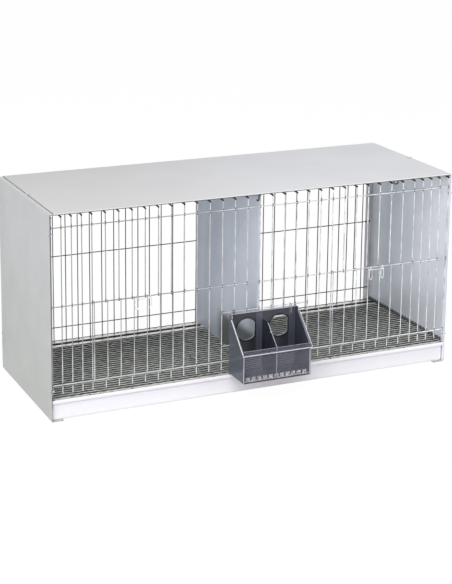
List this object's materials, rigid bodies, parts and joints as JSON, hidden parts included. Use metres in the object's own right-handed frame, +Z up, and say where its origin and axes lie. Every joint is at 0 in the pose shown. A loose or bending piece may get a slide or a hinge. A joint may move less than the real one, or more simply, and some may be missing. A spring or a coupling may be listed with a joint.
{
  "type": "pigeon cage",
  "caption": "Divided wire pigeon cage with sheet steel roof, sides and divider, latched drop-front doors, wire floor over a pull-out tray, and a hook-on feed trough with round feed holes",
  "frame": {"origin": "on the surface it stands on, under the middle of the whole outline including the trough that reaches forward", "axes": "+X to the cage's right seen from the front, +Y to the back, +Z up"},
  "size_m": [1.004, 0.4577, 0.4715],
  "materials": {
    "roof": "satin pale grey coated sheet steel",
    "side_panel": "satin light grey coated sheet steel",
    "divider": "bluish galvanised sheet steel",
    "wire": "bright galvanised wire",
    "clip": "bright galvanised clip wire",
    "floor_wire": "dull dark galvanised wire",
    "tray": "white moulded plastic",
    "feeder_smoke": "smoke-tinted clear plastic",
    "feeder_comb": "pale smoke-tinted clear plastic"
  },
  "bodies": {
    "body": {"roof_panel": "roof", "left_side_panel": "side_panel", "right_side_panel": "side_panel", "divider_panel": "divider", "front_grid": "wire", "back_grid": "wire", "front_left_upper_ring": "clip", "front_left_lower_ring": "clip", "front_right_upper_ring": "clip", "front_right_lower_ring": "clip", "back_left_upper_ring": "clip", "back_left_upper_second_ring": "clip", "back_left_lower_ring": "clip", "back_left_lower_second_ring": "clip", "back_right_upper_ring": "clip", "back_right_lower_ring": "clip", "centre_roof_hook": "clip", "right_roof_hook": "clip"},
    "left_door": {"left_door": "wire"},
    "left_latch": {"left_latch": "wire"},
    "right_door": {"right_door": "wire"},
    "right_latch": {"right_latch": "wire"},
    "tray": {"tray_walls": "tray", "tray_bottom": "tray"},
    "wire_floor": {"wire_floor": "floor_wire"},
    "feeder": {"feeder_shell": "feeder_smoke", "feeder_partition": "feeder_smoke", "feeder_comb": "feeder_comb", "feeder_left_hook": "clip", "feeder_right_hook": "clip"}
  },
  "joints": [
    {"name": "left_door_hinge", "type": "hinge", "parent": "body", "child": "left_door", "pos_m": [-0.2945, -0.14415, 0.082], "axis": [1, 0, 0], "range_deg": [0, 90]},
    {"name": "left_latch_pivot", "type": "hinge", "parent": "left_door", "child": "left_latch", "pos_m": [-0.2857, -0.14845, 0.263], "axis": [-1, 0, 0], "range_deg": [0, 170]},
    {"name": "right_door_hinge", "type": "hinge", "parent": "body", "child": "right_door", "pos_m": [0.2945, -0.14415, 0.082], "axis": [1, 0, 0], "range_deg": [0, 90]},
    {"name": "right_latch_pivot", "type": "hinge", "parent": "right_door", "child": "right_latch", "pos_m": [0.3033, -0.14845, 0.263], "axis": [-1, 0, 0], "range_deg": [0, 170]},
    {"name": "tray_slide", "type": "slide", "parent": "body", "child": "tray", "axis": [0, -1, 0], "range_m": [0, 0.33]},
    {"name": "wire_floor_slide", "type": "slide", "parent": "body", "child": "wire_floor", "axis": [0, -1, 0], "range_m": [0, 0.15]},
    {"name": "feeder_lift", "type": "slide", "parent": "body", "child": "feeder", "axis": [0, 0, 1], "range_m": [0, 0.015]}
  ]
}
